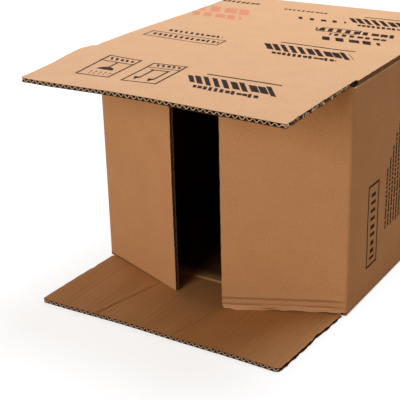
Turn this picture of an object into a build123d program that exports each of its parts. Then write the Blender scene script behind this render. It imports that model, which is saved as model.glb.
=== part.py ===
"""Corrugated carton lying on its side, with its four open-end flaps and the closed end's tape.

Millimetres. +Z is up and -Y is the open end. The origin is the middle of the outline's base.
"""

import os
from math import cos, pi, radians, sin

from build123d import *

# Carton, outside
carton_width = 360.0  # across the opening
carton_height = 299.0  # from the base to the top panel's face
carton_depth = 352.0  # from the side flaps' scores to the closed end's face

# Single-wall board
board = 5.0
liner = 0.5
flute_pitch = 8.4
medium = 0.4  # the wavy middle paper
medium_gap = 0.3  # half the width of the glue line between two channels
wave_steps = (-1, -0.62, -0.27, 0, 0.27, 0.62, 1)  # corners of a channel's half wave
channel_margin = 2.6  # least whole board beside the first and last channel
crushed_strip = 12.0  # flattened board beside a score, where the channels end

# Scores and clearances
edge_clearance = 2.0  # between a side flap's cut edge and the outer board beside it
fold_gap = 0.4  # between a flap and the panel that it folds from
meeting_gap = 1.0  # between two outer flaps that meet
layer_gap = 0.3  # between the closed end's inner and outer flaps
fold_radius = 3.0  # outside of a folded edge
score_depth = 1.6  # groove pressed inside the outer flaps' scores

# Glued joint, along the top right edge
tab_width = 38.0
tab_setback = 14.0  # from the side scores to the tab
tab_taper = 10.0
joint_fold_radius = 2.2  # fold seen under the top panel's cut edge
cut_edge_recess = 1.8  # open flute along the top panel's cut edge

# Open side flaps, measured from closed
right_flap_angle = 25.0
left_flap_angle = 20.5

# Wear
worn_corner_radius = 6.0
crease_heights = (4.0, 12.0)  # above the right flap's lower edge
crease_width = 2.4
crease_depth = 0.35

# Packing tape on the closed end
tape_width = 48.0
tape_thickness = 0.2
tape_return = 58.0  # onto each side panel

# Worked out from the sizes above
slot_inset = board + edge_clearance
flap_length = (carton_height - meeting_gap) / 2
side_flap_length = flap_length + board
half_width = carton_width / 2
outer_flap_width = carton_width - 2 * slot_inset
side_flap_width = carton_height - 2 * slot_inset
overall_depth = board + flap_length + carton_depth + tape_thickness
side_score_y = board + flap_length - overall_depth / 2
outer_score_y = side_score_y - board
far_y = side_score_y + carton_depth
inner_far_y = far_y - board - layer_gap
score_end = fold_gap / 2
panel_start_y = side_score_y + score_end
joint_z = carton_height - board  # underside of the top panel
channel_rise = board - 2 * liner - medium
channel_half_base = flute_pitch / 2 - medium_gap


def flute_channel(base_y, rise):
    """Section of one flute channel: flat on a liner, with the half wave of the middle paper over it."""
    with BuildSketch() as channel:
        with BuildLine():
            wave = [
                (step * channel_half_base, base_y + rise * (1 + cos(pi * step)) / 2)
                for step in wave_steps
            ]
            Polyline(*wave, close=True)
        make_face()
    return channel.sketch


def flap(hinge, width, length, bevel, worn_side=0):
    """One flap. On the hinge plane x runs along the score, y along the flap and z out of its printed face."""
    side_view = Plane(hinge.origin, x_dir=hinge.y_dir, z_dir=hinge.x_dir)
    free_edge = Plane(
        hinge.origin + hinge.y_dir * length,
        x_dir=hinge.x_dir,
        z_dir=-hinge.y_dir,
    )
    with BuildPart() as piece:
        with BuildSketch(side_view):
            with Locations((score_end, 0)):
                Rectangle(length - score_end, board, align=(Align.MIN, Align.MAX))
            with BuildLine():
                Polyline(
                    (score_end, -board),
                    (score_end + bevel, -board),
                    (score_end, bevel - board),
                    close=True,
                )
            make_face(mode=Mode.SUBTRACT)
        extrude(amount=width / 2, both=True)
        if worn_side:
            corner_x = worn_side * width / 2
            centre_x = worn_side * (width / 2 - worn_corner_radius)
            with BuildSketch(hinge) as worn:
                with Locations(((corner_x + centre_x) / 2, length - worn_corner_radius / 2)):
                    Rectangle(worn_corner_radius, worn_corner_radius)
                with Locations((centre_x, length - worn_corner_radius)):
                    Circle(worn_corner_radius, mode=Mode.SUBTRACT)
            extrude(worn.sketch, amount=-board, mode=Mode.SUBTRACT)
        channel_count = int((width - 2 * channel_margin) // flute_pitch)
        with BuildSketch(free_edge):
            with GridLocations(flute_pitch, 1, channel_count, 1):
                add(flute_channel(-liner, -channel_rise))
            with GridLocations(flute_pitch, 1, channel_count - 1, 1):
                add(flute_channel(liner - board, channel_rise))
        extrude(amount=length - crushed_strip, mode=Mode.SUBTRACT)
    return piece


def side_hinge(side, angle):
    """Hinge plane of the left (-1) or right (1) side flap, opened by the angle."""
    return Plane(
        (side * half_width, side_score_y, carton_height / 2),
        x_dir=(0, 0, side),
        z_dir=(side * sin(radians(angle)), -cos(radians(angle)), 0),
    )


top_flap = flap(
    Plane((0, outer_score_y, carton_height), x_dir=(-1, 0, 0), z_dir=(0, 0, 1)),
    width=outer_flap_width,
    length=flap_length,
    bevel=score_depth,
)

bottom_flap = flap(
    Plane((0, outer_score_y, 0), x_dir=(1, 0, 0), z_dir=(0, 0, -1)),
    width=outer_flap_width,
    length=flap_length,
    bevel=score_depth,
    worn_side=1,
)

left_flap = flap(
    side_hinge(-1, left_flap_angle),
    width=side_flap_width,
    length=side_flap_length,
    bevel=board,
)

right_hinge = side_hinge(1, right_flap_angle)
plain_right_flap = flap(
    right_hinge,
    width=side_flap_width,
    length=side_flap_length,
    bevel=board,
    worn_side=-1,
)
with BuildPart() as right_flap:
    add(plain_right_flap.part)
    with BuildSketch(Plane(right_hinge.origin, x_dir=right_hinge.x_dir, z_dir=-right_hinge.y_dir)):
        for height in crease_heights:
            crease_x = height - side_flap_width / 2
            with BuildLine():
                Polyline(
                    (crease_x - crease_width / 2, 0),
                    (crease_x + crease_width / 2, 0),
                    (crease_x, -crease_depth),
                    close=True,
                )
            make_face()
    extrude(amount=-side_flap_length, mode=Mode.SUBTRACT)

with BuildPart() as carton_body:
    # Four panels, with the top panel's right edge left square for the glued joint
    with BuildSketch(Plane((0, panel_start_y, 0), x_dir=(-1, 0, 0), z_dir=(0, 1, 0))) as section:
        with Locations((0, carton_height / 2)):
            Rectangle(carton_width, carton_height)
        folded = section.vertices().sort_by_distance((-half_width, carton_height, 0))
        fillet(folded[1:], fold_radius)
        with Locations((0, carton_height / 2)):
            Rectangle(carton_width - 2 * board, carton_height - 2 * board, mode=Mode.SUBTRACT)
    extrude(amount=inner_far_y - fold_radius - panel_start_y)

    # Top and bottom panels between the slots, with the closed end's outer flaps
    loop_start_y = outer_score_y + score_end
    with BuildSketch(Plane.YZ) as outer_loop:
        with Locations(((loop_start_y + far_y) / 2, carton_height / 2)):
            Rectangle(far_y - loop_start_y, carton_height)
        far_corners = outer_loop.vertices().group_by(Axis.X)[-1]
        fillet(far_corners, fold_radius)
        with Locations((loop_start_y, carton_height / 2)):
            Rectangle(
                far_y - board - loop_start_y,
                carton_height - 2 * board,
                align=(Align.MIN, Align.CENTER),
                mode=Mode.SUBTRACT,
            )
        with Locations((far_y - board / 2, carton_height / 2)):
            Rectangle(board, meeting_gap, mode=Mode.SUBTRACT)
    extrude(amount=outer_flap_width / 2, both=True)

    # Side panels, with the closed end's inner flaps
    with BuildSketch(Plane.XY.offset(carton_height / 2)) as inner_loop:
        with Locations((0, (panel_start_y + inner_far_y) / 2)):
            Rectangle(carton_width, inner_far_y - panel_start_y)
        far_corners = inner_loop.vertices().group_by(Axis.Y)[-1]
        fillet(far_corners, fold_radius)
        with Locations((0, panel_start_y)):
            Rectangle(
                carton_width - 2 * board,
                inner_far_y - board - panel_start_y,
                align=(Align.CENTER, Align.MIN),
                mode=Mode.SUBTRACT,
            )
        with Locations((0, inner_far_y - board / 2)):
            Rectangle(carton_width - 2 * side_flap_length, board, mode=Mode.SUBTRACT)
    extrude(amount=side_flap_width / 2, both=True)

    # Bevels that let the side flaps close
    with BuildSketch(Plane.XY.offset(carton_height / 2)):
        for side in (-1, 1):
            with BuildLine():
                Polyline(
                    (side * half_width, panel_start_y),
                    (side * (half_width - board), panel_start_y),
                    (side * (half_width - board), panel_start_y + board),
                    close=True,
                )
            make_face()
    extrude(amount=carton_height / 2 - board, both=True, mode=Mode.SUBTRACT)

    # Tab glued under the top panel, its ends cut at a slant
    with BuildSketch(Plane.XY.offset(joint_z)):
        tab_start_y = side_score_y + tab_setback
        tab_end_y = inner_far_y - board - tab_setback
        with BuildLine():
            Polyline(
                (half_width - board, tab_start_y),
                (half_width - board - tab_width, tab_start_y + tab_taper),
                (half_width - board - tab_width, tab_end_y - tab_taper),
                (half_width - board, tab_end_y),
                close=True,
            )
        make_face()
    extrude(amount=-board)

    # Rounded fold under the top panel's cut edge, and the open flute along that edge
    with BuildSketch(Plane((0, panel_start_y, 0), x_dir=(-1, 0, 0), z_dir=(0, 1, 0))):
        with Locations((-half_width, joint_z)):
            Rectangle(
                joint_fold_radius,
                joint_fold_radius,
                align=(Align.MIN, Align.MAX),
            )
        with Locations((joint_fold_radius - half_width, joint_z - joint_fold_radius)):
            Circle(joint_fold_radius, mode=Mode.SUBTRACT)
        with BuildLine():
            Polyline(
                (-half_width, carton_height - liner),
                (-half_width, joint_z + liner),
                (cut_edge_recess - half_width, joint_z + 2 * liner),
                (cut_edge_recess - half_width, carton_height - 2 * liner),
                close=True,
            )
        make_face()
    extrude(amount=inner_far_y - fold_radius - panel_start_y, mode=Mode.SUBTRACT)

with BuildPart() as sealing_tape:
    with BuildSketch(Plane.XY.offset(carton_height / 2)):
        with BuildLine():
            Polyline(
                (half_width, far_y - tape_return),
                (half_width, inner_far_y),
                (outer_flap_width / 2, far_y),
                (-outer_flap_width / 2, far_y),
                (-half_width, inner_far_y),
                (-half_width, far_y - tape_return),
            )
            offset(amount=tape_thickness, side=Side.RIGHT)
        make_face()
    extrude(amount=tape_width / 2, both=True)

os.makedirs("parts", exist_ok=True)
for name, piece in (
    ("carton_body", carton_body),
    ("top_flap", top_flap),
    ("bottom_flap", bottom_flap),
    ("left_flap", left_flap),
    ("right_flap", right_flap),
    ("sealing_tape", sealing_tape),
):
    piece.part.label = name
    export_step(piece.part, f"parts/{name}.step")
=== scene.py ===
import math

import bmesh
import bpy
import numpy as np
from mathutils import Matrix, Vector


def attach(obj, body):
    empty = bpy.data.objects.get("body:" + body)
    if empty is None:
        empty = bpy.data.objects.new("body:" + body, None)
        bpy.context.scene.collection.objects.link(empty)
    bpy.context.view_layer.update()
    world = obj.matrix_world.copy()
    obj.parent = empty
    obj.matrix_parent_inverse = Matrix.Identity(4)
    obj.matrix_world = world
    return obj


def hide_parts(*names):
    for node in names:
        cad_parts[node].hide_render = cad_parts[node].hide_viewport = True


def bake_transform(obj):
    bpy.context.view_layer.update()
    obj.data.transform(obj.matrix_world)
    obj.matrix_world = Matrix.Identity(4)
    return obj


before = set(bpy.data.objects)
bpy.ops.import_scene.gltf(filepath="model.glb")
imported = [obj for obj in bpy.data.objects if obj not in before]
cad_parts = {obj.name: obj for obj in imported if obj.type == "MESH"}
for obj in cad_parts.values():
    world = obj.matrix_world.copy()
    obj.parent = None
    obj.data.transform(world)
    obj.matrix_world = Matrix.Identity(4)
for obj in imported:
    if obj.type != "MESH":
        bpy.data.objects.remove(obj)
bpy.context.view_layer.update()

# Sizes of the carton, in metres. All but the liner and the fold radius are those of the solids.
WIDTH = 0.360  # across the opening
HEIGHT = 0.299
BOARD = 0.005  # thickness of the board
LINER = 0.0007
PITCH = 0.0084  # of the flutes
SIDE_SCORE_Y = -0.0991  # folds of the left and right flaps
OUTER_SCORE_Y = -0.1041  # folds of the top and bottom flaps
FAR_Y = 0.2529  # outer face of the closed end
INNER_FAR_Y = 0.2476  # outer face of the closed end's inner flaps
OUTER_FLAP = 0.149  # length of the top and bottom flaps
SIDE_FLAP = 0.154  # length of the left and right flaps
SLOT = 0.007  # from a fold to the flap's edge beside it
TAB = 0.038  # width of the glued tab
FOLD_RADIUS = 0.0032
RIGHT_FLAP_ANGLE = math.radians(25.0)
LEFT_FLAP_ANGLE = math.radians(20.5)

# Places along the flat sheet, measured round the carton from the top left fold
TOP_END = WIDTH
LEFT_FOLD = 0.0
BASE_LEFT = -HEIGHT
BASE_RIGHT = BASE_LEFT - WIDTH
JOINT_FOLD = BASE_RIGHT - (HEIGHT - BOARD)
TAB_END = JOINT_FOLD - TAB


def added(name, data):
    """A new object in the scene, from its mesh, lamp or camera."""
    made = bpy.data.objects.new(name, data)
    bpy.context.collection.objects.link(made)
    return made


def final_mesh(made):
    """An object's mesh with its modifiers worked in."""
    graph = bpy.context.evaluated_depsgraph_get()
    return bpy.data.meshes.new_from_object(made.evaluated_get(graph))


# Camera and light

CAMERA_PLACE = (0.63098, -1.13355, 0.63418)
CAMERA_ANGLES = (32.565, 22.972, -1.526)  # azimuth, elevation and roll, in degrees
IMAGE_PIXELS = 400
FOCAL_PIXELS = 1033.53  # focal length, in pixels of the image


def make_camera():
    """The photo's view: the carton's open end from its right, from a little above."""
    azimuth, elevation, roll = (math.radians(angle) for angle in CAMERA_ANGLES)
    forward = Vector((
        -math.sin(azimuth) * math.cos(elevation),
        math.cos(azimuth) * math.cos(elevation),
        -math.sin(elevation),
    ))
    level = Vector((math.cos(azimuth), math.sin(azimuth), 0))
    over = level.cross(forward)
    right = math.cos(roll) * level + math.sin(roll) * over
    up = -math.sin(roll) * level + math.cos(roll) * over
    data = bpy.data.cameras.new("view")
    data.sensor_width = 36.0
    data.lens = FOCAL_PIXELS / IMAGE_PIXELS * data.sensor_width
    data.clip_start, data.clip_end = 0.05, 50
    camera = added("view", data)
    turned = Matrix((right, up, -forward)).transposed().to_4x4()
    camera.matrix_world = Matrix.Translation(CAMERA_PLACE) @ turned
    bpy.context.scene.camera = camera


def area_light(name, place, target, size, power, colour):
    """A round soft lamp that faces its target."""
    data = bpy.data.lights.new(name, "AREA")
    data.shape = "DISK"
    data.size = size
    data.energy = power
    data.color = colour
    lamp = added(name, data)
    lamp.location = place
    lamp.rotation_euler = (Vector(target) - Vector(place)).to_track_quat("-Z", "Y").to_euler()


# Node helpers

FLOAT, VECTOR, COLOUR = "NodeSocketFloat", "NodeSocketVector", "NodeSocketColor"


def set_sockets(tree, node, sockets):
    """Links or sets each named or numbered input of a node."""
    for key, value in sockets.items():
        socket = node.inputs[key]
        if isinstance(value, bpy.types.NodeSocket):
            tree.links.new(value, socket)
        else:
            socket.default_value = value


def put(tree, kind, sockets=None, **settings):
    """Adds a node with its settings and inputs."""
    made = tree.nodes.new(kind)
    for key, value in settings.items():
        setattr(made, key, value)
    set_sockets(tree, made, sockets or {})
    return made


def maths(tree, operation, *values, clamp=False):
    made = put(tree, "ShaderNodeMath", dict(enumerate(values)), operation=operation)
    made.use_clamp = clamp
    return made.outputs[0]


def times(tree, first, second):
    return maths(tree, "MULTIPLY", first, second)


def plus(tree, first, second):
    return maths(tree, "ADD", first, second)


def minus(tree, first, second):
    return maths(tree, "SUBTRACT", first, second)


def vector_maths(tree, operation, *values):
    return put(tree, "ShaderNodeVectorMath", dict(enumerate(values)), operation=operation).outputs[0]


def between(tree, value, low, high, to_low=0.0, to_high=1.0):
    """Smooth step of a value from one range to another."""
    made = put(
        tree,
        "ShaderNodeMapRange",
        {"Value": value, "From Min": low, "From Max": high, "To Min": to_low, "To Max": to_high},
        interpolation_type="SMOOTHSTEP",
    )
    return made.outputs["Result"]


def mixed(tree, amount, first, second):
    """Colour mixed from the first towards the second."""
    made = tree.nodes.new("ShaderNodeMix")
    made.data_type = "RGBA"
    set_sockets(tree, made, {0: amount, 6: first, 7: second})
    return made.outputs[2]


def noise(tree, place, scale, detail):
    sockets = {"Vector": place, "Scale": scale, "Detail": detail}
    return put(tree, "ShaderNodeTexNoise", sockets).outputs[0]


def stretched(tree, place, scale):
    return put(tree, "ShaderNodeMapping", {"Vector": place, "Scale": scale}).outputs[0]


def split(tree, place):
    """The separate numbers of a vector."""
    return put(tree, "ShaderNodeSeparateXYZ", {0: place}).outputs


def centred(tree, value):
    return minus(tree, value, 0.5)


def attribute(tree, name):
    """A value kept on the points of a piece."""
    return put(tree, "ShaderNodeAttribute", attribute_name=name).outputs["Fac"]


def add_bump(tree, shader, height, distance=1.0):
    bump = put(tree, "ShaderNodeBump", {"Height": height, "Strength": 1.0, "Distance": distance})
    tree.links.new(bump.outputs[0], shader.inputs["Normal"])


def group(name, inputs, outputs):
    """An empty shader group with its sockets, and its ends' nodes."""
    tree = bpy.data.node_groups.new(name, "ShaderNodeTree")
    for label, kind, value in inputs:
        socket = tree.interface.new_socket(label, in_out="INPUT", socket_type=kind)
        if value is not None:
            socket.default_value = value
    for label, kind in outputs:
        tree.interface.new_socket(label, in_out="OUTPUT", socket_type=kind)
    return tree, tree.nodes.new("NodeGroupInput").outputs, tree.nodes.new("NodeGroupOutput")


def place_group(tree, node_group, sockets):
    made = tree.nodes.new("ShaderNodeGroup")
    made.node_tree = node_group
    set_sockets(tree, made, sockets)
    return made


# Effects that several materials share

def make_paper_grain():
    """Mottling, speckle and dark flecks of kraft paper, from a place on the sheet in metres."""
    tree, given, end = group(
        "paper grain",
        [("Place", VECTOR, None), ("Mottle", FLOAT, 1.0), ("Speckle", FLOAT, 1.0)],
        [("Tone", FLOAT), ("Height", FLOAT)],
    )
    cloudy = noise(tree, given["Place"], 30.0, 5.0)
    speckle = noise(tree, given["Place"], 520.0, 3.0)
    fleck = noise(tree, stretched(tree, given["Place"], (1.0, 0.3, 1.0)), 900.0, 1.0)
    mottle = times(tree, centred(tree, cloudy), given["Mottle"])
    fine = times(tree, centred(tree, speckle), given["Speckle"])
    dark = between(tree, fleck, 0.66, 0.78, 0.0, 0.35)
    tone = minus(tree, plus(tree, mottle, fine), dark)
    tree.links.new(tone, end.inputs["Tone"])
    tree.links.new(fine, end.inputs["Height"])
    return tree


def make_washboard():
    """Ridges where a liner sags between its flutes, uneven along and across them."""
    tree, given, end = group(
        "washboard", [("Place", VECTOR, None), ("Pitch", FLOAT, PITCH)], [("Ridges", FLOAT)]
    )
    wander = times(tree, noise(tree, given["Place"], 9.0, 2.0), 0.004)
    shifted = plus(tree, split(tree, given["Place"])[0], wander)
    turns = times(tree, maths(tree, "DIVIDE", shifted, given["Pitch"]), 2 * math.pi)
    wave = maths(tree, "COSINE", turns)
    patchy = noise(tree, stretched(tree, given["Place"], (1.0, 0.1, 1.0)), 60.0, 2.0)
    strength = between(tree, patchy, 0.35, 0.72, 0.15, 1.0)
    tree.links.new(times(tree, wave, strength), end.inputs["Ridges"])
    return tree


def make_edge_wear():
    """Makes a colour pale where wear and shade is above 0, for rubbed wear and painted highlights, and
    darkens it where it is below 0, for painted shade.
    """
    tree, given, end = group(
        "wear and painted shade",
        [("Colour", COLOUR, None), ("Pale", COLOUR, None), ("Shade", COLOUR, None), ("Wear and shade", FLOAT, 0.0)],
        [("Colour", COLOUR)],
    )
    paled = maths(tree, "MULTIPLY", given["Wear and shade"], 1.0, clamp=True)
    shade_amount = maths(tree, "MULTIPLY", given["Wear and shade"], -1.0, clamp=True)
    pale = mixed(tree, paled, given["Colour"], given["Pale"])
    tree.links.new(mixed(tree, shade_amount, pale, given["Shade"]), end.inputs["Colour"])
    return tree


# Printed marks. Each group puts out 1 inside its mark.

INK_BLUR = 0.00015  # half the width of a mark's soft edge


def start_mark(name, inputs):
    """A group for a mark, with the way from the mark's turned centre to a place on the sheet."""
    shared = [("Place", VECTOR, None), ("Centre", VECTOR, None), ("Turn", FLOAT, 0.0)]
    tree, given, end = group(name, shared + inputs, [("Ink", FLOAT)])
    turned = put(
        tree,
        "ShaderNodeVectorRotate",
        {"Vector": given["Place"], "Center": given["Centre"], "Angle": given["Turn"]},
        rotation_type="Z_AXIS",
    )
    return tree, given, end, vector_maths(tree, "SUBTRACT", turned.outputs[0], given["Centre"])


def end_mark(tree, end, room):
    """Turns the room inside a mark's edge into its ink."""
    tree.links.new(between(tree, room, -INK_BLUR, INK_BLUR), end.inputs["Ink"])
    return tree


def make_ink_box():
    """A plain rectangle."""
    tree, given, end, off = start_mark("ink box", [("Half", VECTOR, None)])
    room = split(tree, vector_maths(tree, "SUBTRACT", given["Half"], vector_maths(tree, "ABSOLUTE", off)))
    return end_mark(tree, end, maths(tree, "MINIMUM", room[0], room[1]))


def make_ink_bars():
    """A row of plain bars of uneven width and height in a rectangle."""
    sizes = [
        ("Half", VECTOR, None), ("Step", FLOAT, 0.01), ("Filled", FLOAT, 0.7),
        ("Slant", FLOAT, 0.0), ("Uneven", FLOAT, 0.3),
    ]
    tree, given, end, off = start_mark("ink bars", sizes)
    across, along = split(tree, off)[:2]
    half = split(tree, given["Half"])
    leaning = plus(tree, across, times(tree, along, given["Slant"]))
    counted = maths(tree, "DIVIDE", leaning, given["Step"])
    whole = maths(tree, "FLOOR", counted)
    part = minus(tree, counted, whole)
    chance = put(tree, "ShaderNodeTexWhiteNoise", {"W": whole}, noise_dimensions="1D").outputs[0]
    share = plus(tree, 0.72, times(tree, chance, 0.5))
    filled = times(tree, given["Filled"], share)
    bar = times(tree, minus(tree, filled, part), given["Step"])
    lower = minus(tree, 1.0, times(tree, chance, given["Uneven"]))
    tall = times(tree, half[1], lower)
    room_across = minus(tree, half[0], maths(tree, "ABSOLUTE", leaning))
    room_along = minus(tree, tall, maths(tree, "ABSOLUTE", along))
    room = maths(tree, "MINIMUM", room_across, room_along)
    return end_mark(tree, end, maths(tree, "MINIMUM", room, bar))


def make_ink_wedge():
    """A triangle that points towards the open end, its tip at the centre."""
    tree, given, end, off = start_mark("ink wedge", [("Length", FLOAT, 0.01), ("Spread", FLOAT, 0.6)])
    across, along = split(tree, off)[:2]
    wide = times(tree, along, given["Spread"])
    inside = minus(tree, wide, maths(tree, "ABSOLUTE", across))
    behind = minus(tree, given["Length"], along)
    return end_mark(tree, end, maths(tree, "MINIMUM", inside, behind))


def make_ink_dome():
    """A half disc whose flat side faces the open end."""
    tree, given, end, off = start_mark("ink dome", [("Radius", FLOAT, 0.01)])
    across, along = split(tree, off)[:2]
    squares = plus(tree, maths(tree, "POWER", across, 2.0), maths(tree, "POWER", along, 2.0))
    room = minus(tree, given["Radius"], maths(tree, "SQRT", squares))
    return end_mark(tree, end, maths(tree, "MINIMUM", room, along))


paper_grain = make_paper_grain()
washboard = make_washboard()
wear_and_shade_mix = make_edge_wear()
ink_box = make_ink_box()
ink_bars = make_ink_bars()
ink_wedge = make_ink_wedge()
ink_dome = make_ink_dome()


def on_top(x, y):
    """Sheet place of a point on the top panel or its flap."""
    return (x + WIDTH / 2, y, 0.0)


def on_right(y, z):
    """Sheet place of a point on the right panel."""
    return (BASE_RIGHT - z, y, 0.0)


class Print:
    """Gathers printed marks on one part of the sheet as one mask."""

    def __init__(self, tree, place):
        self.tree = tree
        self.place = place
        self.mask = None

    def mark(self, kind, centre, turn, **sizes):
        """The ink of one mark of a kind."""
        sockets = {"Place": self.place, "Centre": centre, "Turn": turn}
        sockets.update((label.capitalize(), value) for label, value in sizes.items())
        return place_group(self.tree, kind, sockets).outputs[0]

    def add(self, mark):
        self.mask = mark if self.mask is None else maths(self.tree, "MAXIMUM", self.mask, mark)

    def box(self, centre, half, turn=0.0):
        self.add(self.mark(ink_box, centre, turn, half=(*half, 1.0)))

    def frame(self, centre, half, line, turn=0.0):
        """The outline of a rectangle, its line inside."""
        whole = self.mark(ink_box, centre, turn, half=(*half, 1.0))
        hollow = self.mark(ink_box, centre, turn, half=(half[0] - line, half[1] - line, 1.0))
        self.add(maths(self.tree, "SUBTRACT", whole, hollow, clamp=True))

    def bars(self, centre, half, step, filled=0.7, slant=0.0, turn=0.0, uneven=0.3):
        """A row of bars: step is one bar with its gap, and filled is the bar's share of that."""
        sizes = {"half": (*half, 1.0), "step": step, "filled": filled, "slant": slant, "uneven": uneven}
        self.add(self.mark(ink_bars, centre, turn, **sizes))

    def wedge(self, tip, length, spread, turn):
        self.add(self.mark(ink_wedge, tip, turn, length=length, spread=spread))

    def dome(self, centre, radius, turn):
        self.add(self.mark(ink_dome, centre, turn, radius=radius))


def ornament(marks, x, y, wide):
    """A broad row of leaning bars between a rule and a row of small bars."""
    marks.bars(on_top(x, y), (wide, 0.0145), 0.0118, 0.78, 0.75, uneven=0.35)
    marks.box(on_top(x + 0.002, y + 0.0245), (wide * 0.86, 0.0017))
    marks.bars(on_top(x + 0.006, y - 0.0240), (wide * 0.74, 0.0062), 0.0072, 0.80, 0.4, uneven=0.5)


def flap_print(tree, place):
    """Keep-dry sign, this-way-up sign and one ornament, on the top flap."""
    marks = Print(tree, place)
    lean = math.radians(-4.1)
    marks.frame(on_top(-0.1083, -0.1710), (0.0238, 0.0395), 0.0027, lean)
    marks.box(on_top(-0.1108, -0.1530), (0.0235, 0.0012), lean)
    marks.bars(on_top(-0.1115, -0.1425), (0.0185, 0.0046), 0.0072, 0.62, 0.4, lean)
    marks.dome(on_top(-0.1062, -0.1840), 0.0112, lean)
    marks.box(on_top(-0.1072, -0.1690), (0.0013, 0.0160), lean)
    marks.bars(on_top(-0.1042, -0.1945), (0.0150, 0.0022), 0.0066, 0.36, 0.0, lean)
    marks.bars(on_top(-0.1030, -0.2010), (0.0150, 0.0018), 0.0066, 0.36, 0.0, lean)
    lean = math.radians(-5.0)
    marks.frame(on_top(-0.0428, -0.1698), (0.0238, 0.0402), 0.0027, lean)
    marks.box(on_top(-0.0450, -0.1485), (0.0235, 0.0012), lean)
    marks.bars(on_top(-0.0458, -0.1385), (0.0180, 0.0046), 0.0072, 0.62, 0.4, lean)
    marks.box(on_top(-0.0430, -0.1572), (0.0135, 0.0016), lean)
    for x, tip in ((-0.0515, -0.2015), (-0.0315, -0.2025)):
        marks.box(on_top(x + 0.0008, -0.1755), (0.0014, 0.0190), lean)
        marks.wedge(on_top(x, tip), 0.0125, 0.42, lean)
    ornament(marks, 0.0610, -0.1690, 0.0570)
    return marks.mask


def top_print(tree, place):
    """Long ruled frame, two ornaments and rows of plain bars, on the top panel."""
    marks = Print(tree, place)
    marks.frame(on_top(-0.1007, -0.0128), (0.0560, 0.0132), 0.0022)
    marks.bars(on_top(-0.1000, -0.0125), (0.0500, 0.0058), 0.0080, 0.60, 0.3)
    marks.bars(on_top(-0.1000, 0.0130), (0.0410, 0.0052), 0.0080, 0.62, 0.4)
    ornament(marks, 0.0710, 0.0010, 0.0600)
    ornament(marks, 0.1080, 0.1760, 0.0570)
    marks.bars(on_top(0.0840, 0.1130), (0.0560, 0.0085), 0.0125, 0.72, 0.3)
    marks.frame(on_top(0.0620, 0.1130), (0.0290, 0.0115), 0.0022)
    marks.bars(on_top(0.0980, 0.0920), (0.0400, 0.0058), 0.0110, 0.72, 0.3)
    marks.bars(on_top(0.0960, 0.0700), (0.0430, 0.0085), 0.0190, 0.75, 0.5, uneven=0.4)
    marks.bars(on_top(0.0130, 0.1600), (0.0380, 0.0062), 0.0175, 0.46, 0.5)
    marks.bars(on_top(-0.0290, 0.1990), (0.0360, 0.0036), 0.0072, 0.72)
    marks.bars(on_top(-0.1440, 0.2120), (0.0320, 0.0050), 0.0080, 0.74)
    return marks.mask


def red_print(tree, place):
    """Two rows of broad red blocks near the top panel's far left corner."""
    marks = Print(tree, place)
    marks.bars(on_top(-0.1390, 0.1540), (0.0440, 0.0170), 0.0240, 0.84, 0.5)
    marks.bars(on_top(-0.1330, 0.1180), (0.0420, 0.0120), 0.0190, 0.84, 0.5)
    return marks.mask


def side_print(tree, place):
    """Upright frame with plain bars, and columns of fine bars, on the right panel."""
    marks = Print(tree, place)
    marks.frame(on_right(-0.0285, 0.0970), (0.0562, 0.0164), 0.0029)
    marks.bars(on_right(-0.0285, 0.0970), (0.0470, 0.0072), 0.0108, 0.52, uneven=0.35)
    for column, top in enumerate((0.158, 0.170, 0.184, 0.198, 0.211, 0.211, 0.205)):
        low = 0.074 + 0.002 * (column % 2)
        middle = on_right(0.0130 + 0.0088 * column, (top + low) / 2)
        marks.bars(middle, ((top - low) / 2, 0.0027), 0.0060, 0.86)
    return marks.mask


def start_material(name):
    """A new material with its tree and its main shader."""
    material = bpy.data.materials.new(name)
    material.use_nodes = True
    tree = material.node_tree
    return material, tree, tree.nodes["Principled BSDF"]


def sheet_place(tree):
    """Place on the flat sheet, in metres."""
    return put(tree, "ShaderNodeUVMap", uv_map="sheet").outputs[0]


def worn_and_shaded_colour(tree, colour, pale, shade_colour):
    """A colour made pale by wear and painted highlights, and dark by painted shade, as kept on the piece's
    points.
    """
    sockets = {"Colour": colour, "Pale": pale, "Shade": shade_colour, "Wear and shade": attribute(tree, "worn")}
    return place_group(tree, wear_and_shade_mix, sockets).outputs[0]


def scaled(colour, *shares):
    """A colour with each part scaled by its own share."""
    return (*(value * share for value, share in zip(colour, shares)), 1)


KRAFT_LIGHT = (0.725, 0.423, 0.227)
KRAFT_DARK = (0.600, 0.334, 0.170)
INNER_LIGHT = (0.590, 0.310, 0.130)
INNER_DARK = (0.425, 0.205, 0.076)
INSIDE_SHADE = (0.02, 0.011, 0.006, 1)
INK = (0.026, 0.010, 0.008, 1)
RED_INK = (0.68, 0.17, 0.10, 1)
FLUTE_SHADE = (0.030, 0.016, 0.008, 1)
DEEP_FLUTE_SHADE = (0.016, 0.009, 0.005, 1)


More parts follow.
